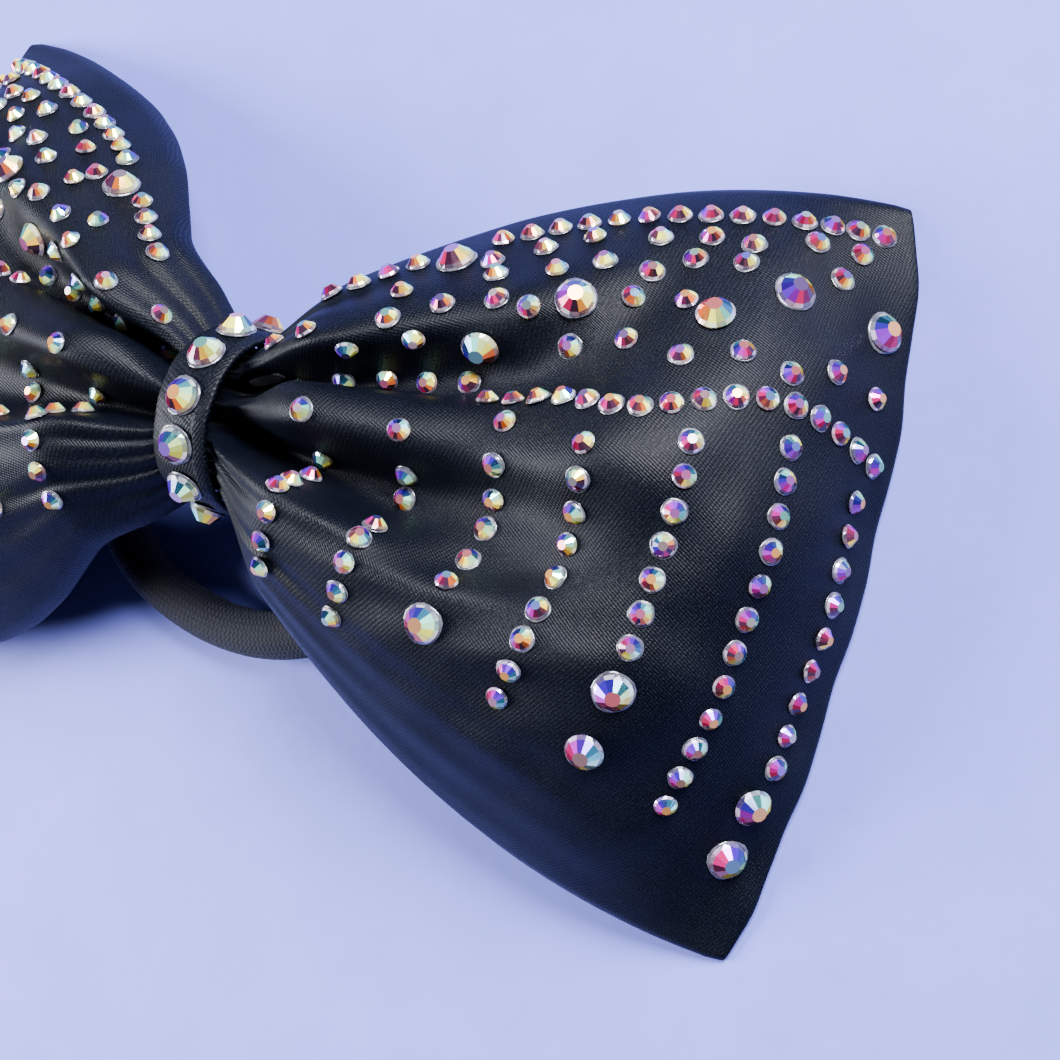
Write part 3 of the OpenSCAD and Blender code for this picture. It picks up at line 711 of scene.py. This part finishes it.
layout = {
    "rowPitch": 5.0, "edgeRow": 0.88, "edgeStart": 22.0, "edgeMargin": 5.0, "columnPitch": 15.0,
    "columnFirst": 25.0, "lineStart": 50.0, "linePitch": 4.5, "lineGap": 0.07, "largeGap": 0.5,
    "smallGap": 0.2, "nudge": 0.15, "glueShows": 0.6,
    # start and count of each column; place, start, end and pitch of each row; places of the large ones
    "columns": [(0.1, 8), (0.1, 8), (0.16, 8), (0.18, 9), (0.24, 7), (0.28, 12), (0.2, 11)],
    "rows": [(0.34, 17, 47, 7), (0.47, 30, 120, 8.5), (0.6, 14, 112, 7.5), (0.71, 37, 119, 8),
             (0.8, 52, 112, 8.5)],
    "large": [(44, 0.83), (49, 0.46), (65, 0.6), (87, 0.57), (99, 0.66), (117, 0.61),
              (55, -0.46), (85, -0.39), (85, -0.56), (114, -0.54), (115, -0.69)],
}


def plainPoint(s, t):
    return facePoints(s, t, 0.0, 0.0)


def linePlace(s):
    return 0.25 + 0.13 * np.exp(-((s / wingRun - 0.78) / 0.16) ** 2)


def scatter(n):
    v = 43.7 * np.sin(np.radians(n * 127.1))
    return v - np.floor(v) - 0.5


def clearOf(point, others, space):
    return all(np.linalg.norm(point - other) >= space for other in others)


def keptApart(places):
    kept, points = [], []
    for place in places:
        point = plainPoint(*place)
        if clearOf(point, points, stone["small"] + layout["smallGap"]):
            kept.append(place)
            points.append(point)
    return kept


def columnSpots(s, t, count, offLarge):
    kept, points = [], []
    while count:
        point = plainPoint(s, t)
        apart = clearOf(point, points, stone["small"] + layout["smallGap"])
        if apart and offLarge((s, t)):
            kept.append((s, t))
            points.append(point)
        step = np.linalg.norm(plainPoint(s, t + 0.01) - plainPoint(s, t - 0.01)) / 0.02
        t -= (1 if apart else layout["nudge"]) * layout["rowPitch"] / step
        count -= apart
    return kept


def layOut():
    last = wingRun - layout["edgeMargin"]
    largePoints = [plainPoint(*place) for place in layout["large"]]
    space = (stone["small"] + stone["large"]) / 2 + layout["largeGap"]

    def offLarge(place):
        return clearOf(plainPoint(*place), largePoints, space)
    edge = [(s, layout["edgeRow"]) for s in np.arange(layout["edgeStart"], last, layout["rowPitch"])]
    columns = []
    for k, (start, count) in enumerate(layout["columns"]):
        columns += columnSpots(layout["columnFirst"] + k * layout["columnPitch"], start, count, offLarge)
    field = [(s, linePlace(s)) for s in np.arange(layout["lineStart"], last, layout["linePitch"])]
    for k, (place, start, end, pitch) in enumerate(layout["rows"]):
        for n in range(int((end - start) / pitch) + 1):
            s = start + n * pitch + 3 * scatter(n + 31 * k)
            t = place + 0.05 * scatter(n + 57 * k + 9)
            if offLarge((s, t)) and t > linePlace(s) + layout["lineGap"]:
                field.append((s, t))
    return {"edge": [place for place in edge if offLarge(place)], "column": columns,
            "field": keptApart(field), "large": layout["large"]}


# Directions along a surface, turned about the outward one by shares of a full turn
def spun(along, out, turns):
    angle = 2 * np.pi * turns[:, None]
    return along * np.cos(angle) + np.cross(out, along) * np.sin(angle)


crystal, glue = crystalMaterial(), glueMaterial()
stoneMesh, collarMesh = stoneShape(), collarShape()
spots = layOut()
glueSpots = [[], [], [], []]
for sideName, sign in (("right", 1), ("left", -1)):
    for group, places in spots.items():
        s = sign * np.array([p[0] for p in places], float)
        t = np.array([p[1] for p in places], float)
        along, over, out = slopes(facePoints, s, t)
        count = len(places)
        turns = luck.random(count)
        sideways = spun(along, out, turns)
        tipped = out + 0.05 * luck.standard_normal((count, 3))
        tipped /= np.linalg.norm(tipped, axis=1, keepdims=True)
        where = facePoints(s, t) + stone["lift"] * out
        sizes = np.full(count, stone["large"] if group == "large" else stone["small"])
        piece = setPieces(sideName + group.capitalize() + "Crystals", stoneMesh, where, tipped, sideways,
                          sizes, crystal, 5 + sign + 10 * len(group), turns=turns)
        finishPiece(piece, None, "bow", "crystal", "%s_%s_crystals" % (sideName, group))
        shows = luck.random(count) < layout["glueShows"]
        for store, values in zip(glueSpots, (where - 0.02 * out, out, sideways, sizes)):
            store.append(values[shows])
print("wing crystals set")


# Points and outward directions round the knot, from the middle of the back, as (y, z)
def wrapOutline(half, low, high, corner, count):
    front = min(half, high - low - 1)
    corner = min(corner, high - low - front - 0.1)
    pieces = []

    def straight(a, b):
        n = max(2, int(np.hypot(b[0] - a[0], b[1] - a[1]) / 0.1))
        pieces.append(np.linspace(a, b, n, endpoint=False))

    def arc(y, z, radius, start, end):
        n = max(8, int(abs(end - start) * radius / 0.1))
        a = np.linspace(start, end, n, endpoint=False)
        pieces.append(np.stack([y + radius * np.cos(a), z + radius * np.sin(a)], 1))
    straight((0, low), (half - corner, low))
    arc(half - corner, low + corner, corner, -np.pi / 2, 0)
    straight((half, low + corner), (half, high - front))
    arc(half - front, high - front, front, 0, np.pi / 2)
    arc(front - half, high - front, front, np.pi / 2, np.pi)
    straight((-half, high - front), (-half, low + corner))
    arc(corner - half, low + corner, corner, np.pi, 1.5 * np.pi)
    straight((corner - half, low), (0, low))
    line = np.concatenate(pieces)
    steps = np.linalg.norm(np.roll(line, -1, 0) - line, axis=1)
    far = np.concatenate([[0], np.cumsum(steps)])
    wanted = np.linspace(0, far[-1], count, endpoint=False)
    closed = np.concatenate([line, line[:1]])
    even = np.stack([np.interp(wanted, far, closed[:, k]) for k in (0, 1)], 1)
    ahead = np.roll(even, -1, 0) - np.roll(even, 1, 0)
    ahead /= np.linalg.norm(ahead, axis=1, keepdims=True)
    return even, np.stack([ahead[:, 1], -ahead[:, 0]], 1), far[-1]


# Points at a height out from the wrap's outline, with their places along the bow
def overWrap(x, line, out, height):
    places = np.broadcast_to(x, height.shape)
    return np.concatenate([places[..., None], line + out * height[..., None]], -1)


band = {"around": 260, "across": 44, "under": 14, "crown": 0.16, "fold": 3.1, "foldRise": 0.3, "edge": 0.34,
        "tuck": 0.5}


# Falls from one to nothing over a strip's rounded edge
def softEdge(x, half, width):
    return np.sqrt(np.clip(1 - np.clip((np.abs(x) - half + width) / width, 0, 1) ** 2, 0, 1))


def buildBand():
    line, out, length = wrapOutline(bandHalf, bandBack + knot["band"], bandFront, knot["corner"],
                                    band["around"])
    half = knot["bandWidth"] / 2
    under = np.linspace(half, -half, band["under"])[1:-1]
    x = np.concatenate([np.linspace(-half, half, band["across"]), under])
    outer = np.arange(len(x)) < band["across"]
    around = length * np.arange(band["around"]) / band["around"]
    turn = 2 * np.pi * around / length
    wander = 0.16 * np.sin(5 * turn + 1) + 0.12 * np.sin(11 * turn) + 0.07 * np.sin(23 * turn + 2)
    xs = x[None] * (1 + 0.012 * np.sin(7 * turn))[:, None] + 0.10 * np.sin(4 * turn + 0.7)[:, None]
    rounding = softEdge(x, half, band["edge"])
    step = smooth(0, 0.22, x[None] - band["fold"] - wander[:, None]) * band["foldRise"]
    wave = 0.05 * np.sin(2 * np.pi * around[:, None] / 6.1 + 0.5 * x[None])
    wave = wave + 0.03 * np.sin(2 * np.pi * around[:, None] / 2.3 - 1.4 * x[None])
    top = 0.3 + (0.34 + band["crown"] * (1 - (x / half) ** 2)[None] + step + wave) * rounding[None]
    height = np.where(outer[None], top, 0.3 - 0.26 * rounding[None])
    # The edges lean in to the gathered cloth, except where the band lies flat at the back
    height = height - band["tuck"] * (np.abs(x[None]) / half) ** 4 * smooth(-0.2, 0.5, out[:, 1:2] + 0.3)
    points = overWrap(xs, line[:, None], out[:, None], height)
    rows, cols = points.shape[:2]
    u = np.append(around, length)
    v = np.cumsum(np.append(0, np.abs(np.diff(np.append(x, x[0])))))
    return makeMesh("knotBand", points.reshape(-1, 3), gridFaces(rows, cols, True, True, flip=True),
                    wrapUv(rows, cols, u, v, True, True, flip=True))


finishPiece(buildBand(), bandSatin, "bow", "black_satin", "knot_band")
lining = {"around": 200, "across": 20, "half": 4.7, "edge": 0.2, "inset": 0.55, "middle": 0.22,
          "ripple": 0.03}


# Inner fold of the band: a thin strip, narrower than the band, with soft edges
def buildLining():
    around, cols, inset = lining["around"], 2 * lining["across"], lining["inset"]
    line, out, _ = wrapOutline(bandHalf - inset, liningBack + knot["lining"], bandFront - inset,
                               knot["corner"], around)
    outward = np.linspace(-lining["half"], lining["half"], lining["across"])
    x = np.concatenate([outward, -outward])
    edge = softEdge(x, lining["half"], lining["edge"])
    height = lining["middle"] + np.where(np.arange(cols) < lining["across"], 0.2, -0.18) * edge
    height = height[None] + lining["ripple"] * np.sin(np.arange(around) / 5.0)[:, None]
    points = overWrap(x, line[:, None], out[:, None], height)
    return makeMesh("bandLining", points.reshape(-1, 3), gridFaces(around, cols, True, True, flip=True))


finishPiece(buildLining(), liningCloth, "bow", "lining", "band_lining")
tab = {"rows": 25, "cols": 31, "thick": 0.55, "bevel": 0.12}


def buildTab():
    a, b = np.meshgrid(np.linspace(-1, 1, tab["rows"]), np.linspace(-1, 1, tab["cols"]), indexing="ij")
    halfX, halfY = knot["bandWidth"] / 2, knot["tabLength"] / 2
    # Corners pulled in to a small radius
    pull = smooth(0.78, 1.0, np.abs(a)) * smooth(0.84, 1.0, np.abs(b))
    x = halfX * a * (1 - 0.07 * pull) + 0.05 * np.sin(6 * b)
    y = halfY * b * (1 - 0.05 * pull)
    z = knot["rise"] + 0.1 + 0.05 * np.sin(3 * a + 1) * np.sin(4 * b) + 0.06 * smooth(0.8, 1, np.abs(b))
    points = np.stack([x, y, z], -1).reshape(-1, 3)
    piece = makeMesh("bandEnd", points, gridFaces(tab["rows"], tab["cols"], flip=True), points[:, :2])
    return settle(piece, ("SOLIDIFY", {"thickness": tab["thick"] * mm, "offset": -1.0, "use_rim": True}),
                  ("BEVEL", {"width": tab["bevel"] * mm, "segments": 2, "limit_method": "ANGLE"}))


finishPiece(buildTab(), bandSatin, "bow", "black_satin", "band_end_tab")


# Round thread along a path of points, capped at both ends
def tube(name, path, radius, sides):
    ahead = np.roll(path, -1, 0) - np.roll(path, 1, 0)
    ahead[0], ahead[-1] = path[1] - path[0], path[-1] - path[-2]
    ahead /= np.linalg.norm(ahead, axis=1, keepdims=True)
    first = np.cross(ahead, (1.0, 0.0, 0.0))
    first /= np.linalg.norm(first, axis=1, keepdims=True)
    second = np.cross(ahead, first)
    a = 2 * np.pi * np.arange(sides)[None, :, None] / sides
    points = path[:, None] + radius * (np.cos(a) * first[:, None] + np.sin(a) * second[:, None])
    rows = len(path)
    faces = gridFaces(rows, sides, False, True, flip=True).tolist()
    faces += [list(range(sides - 1, -1, -1)), [(rows - 1) * sides + k for k in range(sides)]]
    return makeMesh(name, points.reshape(-1, 3), faces)


winding = {"turns": 7, "thread": 0.36, "around": 150, "lift": 0.24, "wander": 0.1}


def buildTie():
    line, out, _ = wrapOutline(tieHalf, tieBack + knot["tie"], tieFront, 0.9 * tieHalf, winding["around"])
    count = winding["turns"] * winding["around"]
    k = np.arange(count)
    share = k / (count - 1)
    x = (share - 0.5) * (knot["tieWidth"] - winding["thread"])
    lift = winding["lift"] + winding["wander"] * np.sin(2 * np.pi * k / winding["around"] * 3)
    spot = k % winding["around"]
    return tube("pinchThread", overWrap(x, line[spot], out[spot], lift), winding["thread"] / 2, 8)


threadCloth = clothMaterial("tieThread", (0.004, 0.004, 0.006), (0.03, 0.03, 0.036), 0.3)
finishPiece(buildTie(), threadCloth, "bow", "thread", "pinch_tie")

knotRow = {"count": 7, "firstAngle": 95, "pitch": 30.3, "lift": 0.3, "glueLift": 0.14}
count = knotRow["count"]
knotRadius = bandHalf + knot["band"]
knotMiddle = bandFront + knot["band"] - knotRadius
angles = knotRow["firstAngle"] - knotRow["pitch"] * np.arange(count)
turned = np.radians(np.clip(angles, -90, 90))
below = knotRadius * np.abs(np.radians(angles) - turned)
out = np.stack([np.zeros(count), np.sin(turned), np.cos(turned)], 1)
where = knotRadius * out + (0, 0, knotMiddle)
where[:, 2] -= below
turns = luck.random(count)
sideways = spun(np.tile([1.0, 0, 0], (count, 1)), out, turns)
sizes = np.full(count, stone["large"])
knotStones = setPieces("knotCrystals", stoneMesh, where + knotRow["lift"] * out, out, sideways, sizes,
                       crystal, 91, turns=turns)
finishPiece(knotStones, None, "bow", "crystal", "knot_crystals")
for store, values in zip(glueSpots, (where + knotRow["glueLift"] * out, out, sideways, sizes)):
    store.append(values)
glueRims = setPieces("glueRims", collarMesh, *[np.concatenate(v) for v in glueSpots], glue, 17,
                     variation=0.05)
finishPiece(glueRims, None, "bow", "crystal")
print("knot made")


def loopStations(step=0.6):
    half = loop["width"] / 2 - loop["corner"]
    centre = loop["corner"] - np.sqrt((loop["far"] - loop["corner"]) ** 2 - half ** 2)
    spread = np.arctan2(half, loop["corner"] - centre)

    def arc(x, y, radius, start, turn):
        n = max(2, int(radius * abs(turn) / step))
        a = start + turn * np.arange(n) / n
        return np.stack([x + radius * np.cos(a), y + radius * np.sin(a), a], 1)
    run = np.linspace(half, -half, int(2 * half / step), endpoint=False)
    parts = [arc(-half, -loop["corner"], loop["corner"], np.pi / 2, np.pi - spread),
             arc(0, -centre, loop["far"], -np.pi / 2 - spread, 2 * spread),
             arc(half, -loop["corner"], loop["corner"], spread - np.pi / 2, np.pi - spread),
             np.stack([run, np.zeros_like(run), np.full_like(run, np.pi / 2)], 1)]
    reach = centre + loop["far"]
    return np.concatenate(parts), np.arcsin((tunnelZ - loop["cord"] / 2) / reach)


stations, loopTilt = loopStations()


def toLoop(points):
    x, y, z = np.moveaxis(points, -1, 0)
    c, s = np.cos(loopTilt), np.sin(loopTilt)
    return np.stack([x - loop["shift"], y * c - z * s, y * s + z * c + tunnelZ], -1)


knit = {"sides": 96, "ribs": 24, "ribDepth": 0.09, "twist": 0.35, "stitch": 0.9, "stitchDepth": 0.035}


def buildCover():
    # The straight run is cut at the join, where both ends of the cover meet inside the sleeve
    meet = loop["width"] / 2 - loop["corner"] - loop["sleeve"] / 2
    path = stations[~((stations[:, 1] == 0) & (stations[:, 0] > meet - 0.4) & (stations[:, 0] < meet + 0.4))]
    start = int(np.argmax((path[:, 1] == 0) & (path[:, 0] < meet)))
    path = np.roll(path, -start, 0)
    far = np.concatenate([[0], np.cumsum(np.hypot(*np.diff(path[:, :2], axis=0).T))])
    a = 2 * np.pi * np.arange(knit["sides"]) / knit["sides"]
    lengths, turns = np.meshgrid(far, a, indexing="ij")
    ribs = np.abs(np.sin(knit["ribs"] / 2 * turns + knit["twist"] * np.sin(lengths / 3.1)))
    everyOther = np.pi * np.floor(knit["ribs"] * turns / (2 * np.pi))
    stitch = 0.5 + 0.5 * np.sin(2 * np.pi * lengths / knit["stitch"] + everyOther)
    outer = (loop["cord"] / 2 - 0.16 + knit["ribDepth"] * ribs + knit["stitchDepth"] * stitch * ribs
             + 0.03 * np.sin(lengths / 5.0 + 2 * turns))
    x, y, angle = path.T[..., None]

    def ring(radius):
        return np.stack([x + radius * np.cos(turns) * np.cos(angle), y + radius * np.cos(turns) * np.sin(angle),
                         radius * np.sin(turns)], -1)
    shell = ring(outer)
    core = ring(np.full_like(outer, loop["cord"] / 2 - loop["cover"]))[:, ::4]
    rows, cols, inner = len(path), knit["sides"], knit["sides"] // 4
    points = np.concatenate([shell.reshape(-1, 3), core.reshape(-1, 3)])
    faces = gridFaces(rows, cols, False, True).tolist()
    faces += (gridFaces(rows, inner, False, True, flip=True) + rows * cols).tolist()
    for row, order in ((0, 1), (rows - 1, -1)):
        for k in range(inner):
            outside = [row * cols + (4 * k + m) % cols for m in range(5)]
            inside = [rows * cols + row * inner + k, rows * cols + row * inner + (k + 1) % inner]
            faces.append((outside + inside[::-1])[::-order])
    uvShell = wrapUv(rows, cols, far, np.linspace(0, np.pi * loop["cord"], cols + 1), False, True)
    rest = sum(len(f) for f in faces) - len(uvShell)
    return makeMesh("elasticCover", toLoop(points), faces, np.concatenate([uvShell, np.zeros((rest, 2))]))


def knitMaterial():
    made, tree, shader = newMaterial("knitCover", Roughness=0.82, Specular_IOR_Level=0.22, Sheen_Weight=0.06,
                                     Sheen_Roughness=0.5, Sheen_Tint=(0.62, 0.66, 0.9, 1))
    parts = addNode(tree, "ShaderNodeSeparateXYZ", {0: clothPlace(tree)})
    lengthwise = times(tree, parts.outputs["X"], 2 * np.pi / (knit["stitch"] * mm))
    aroundCord = times(tree, parts.outputs["Y"], 2 * knit["ribs"] / (loop["cord"] * mm))
    vee = math(tree, "ABSOLUTE", math(tree, "SINE", times(tree, aroundCord, 0.5)))
    stitch = math(tree, "SINE", plus(tree, lengthwise, times(tree, vee, 2.6)))
    fuzz = noise(tree, objectPlace(tree), 2600, 4, 0.7)
    colour = ramp(tree, plus(tree, times(tree, stitch, 0.08), fuzz), [
        (0.3, (0.0006, 0.0009, 0.0026)), (0.6, (0.0016, 0.0022, 0.006)), (0.85, (0.008, 0.0095, 0.018))])
    paint(tree, shader, plus(tree, times(tree, stitch, 0.35), fuzz), 0.8, 0.14, Base_Color=colour)
    return made


def rubberMaterial():
    made, tree, shader = newMaterial("rubberCore", Roughness=0.6, Specular_IOR_Level=0.35)
    strands = addNode(tree, "ShaderNodeTexWave", {
        "Vector": objectPlace(tree), "Scale": 260.0, "Distortion": 1.5, "Detail": 1.0}).outputs["Fac"]
    colour = ramp(tree, strands, [(0.2, (0.03, 0.03, 0.03)), (0.8, (0.09, 0.088, 0.085))])
    paint(tree, shader, strands, 0.4, 0.1, Base_Color=colour)
    return made


finishPiece(buildCover(), knitMaterial(), "elastic", "knit_cover", "elastic_cover")
sleeve = {"along": 17, "around": 48, "pinch": 0.28}


# Glued sleeve over the join, a little pinched at each end
def buildSleeve():
    half = loop["width"] / 2 - loop["corner"]
    share = np.linspace(0, 1, sleeve["along"])
    x = half - loop["sleeve"] * (1 - share)
    r = sleeveRadius - 0.05 - sleeve["pinch"] * (1 - hump(share) ** 0.35)
    bore = x[::-4]
    x = np.concatenate([x, bore])[:, None]
    r = np.concatenate([r, np.full(len(bore), sleeveRadius - loop["wall"])])[:, None]
    a = 2 * np.pi * np.arange(sleeve["around"]) / sleeve["around"]
    points = np.stack([np.tile(x, (1, len(a))), r * np.cos(a), r * np.sin(a)], -1)
    return makeMesh("joinSleeve", toLoop(points).reshape(-1, 3),
                    gridFaces(len(r), len(a), True, True, flip=True))


sleeveCloth = clothMaterial("sleeveCloth", (0.006, 0.006, 0.009), (0.03, 0.03, 0.036), 0.6)
finishPiece(buildSleeve(), sleeveCloth, "elastic", "knit_cover", "elastic_join")
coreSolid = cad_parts["elastic_core"]
coreSolid.data.materials.clear()
coreSolid.data.materials.append(rubberMaterial())
print("elastic made")

for shape in (stoneMesh, collarMesh):
    bpy.data.objects.remove(shape)


def tableMaterial():
    made, tree, shader = newMaterial("paleTable", Roughness=0.62, Specular_IOR_Level=0.3)
    place = objectPlace(tree)
    blot = noise(tree, place, 60, 4, 0.6)
    colour = ramp(tree, blot, [(0.25, (0.104, 0.117, 0.47)), (0.75, (0.118, 0.131, 0.52))])
    paint(tree, shader, noise(tree, place, 320, 3), 0.12, 0.6, Base_Color=colour)
    return made


table = {"half": 6000.0, "under": 0.05}
corners = [(x * table["half"], y * table["half"], -table["under"])
           for x, y in ((-1, -1), (1, -1), (1, 1), (-1, 1))]
tableTop = makeMesh("tableTop", corners, [(0, 1, 2, 3)])
tableTop.data.materials.append(tableMaterial())

print("all pieces made")
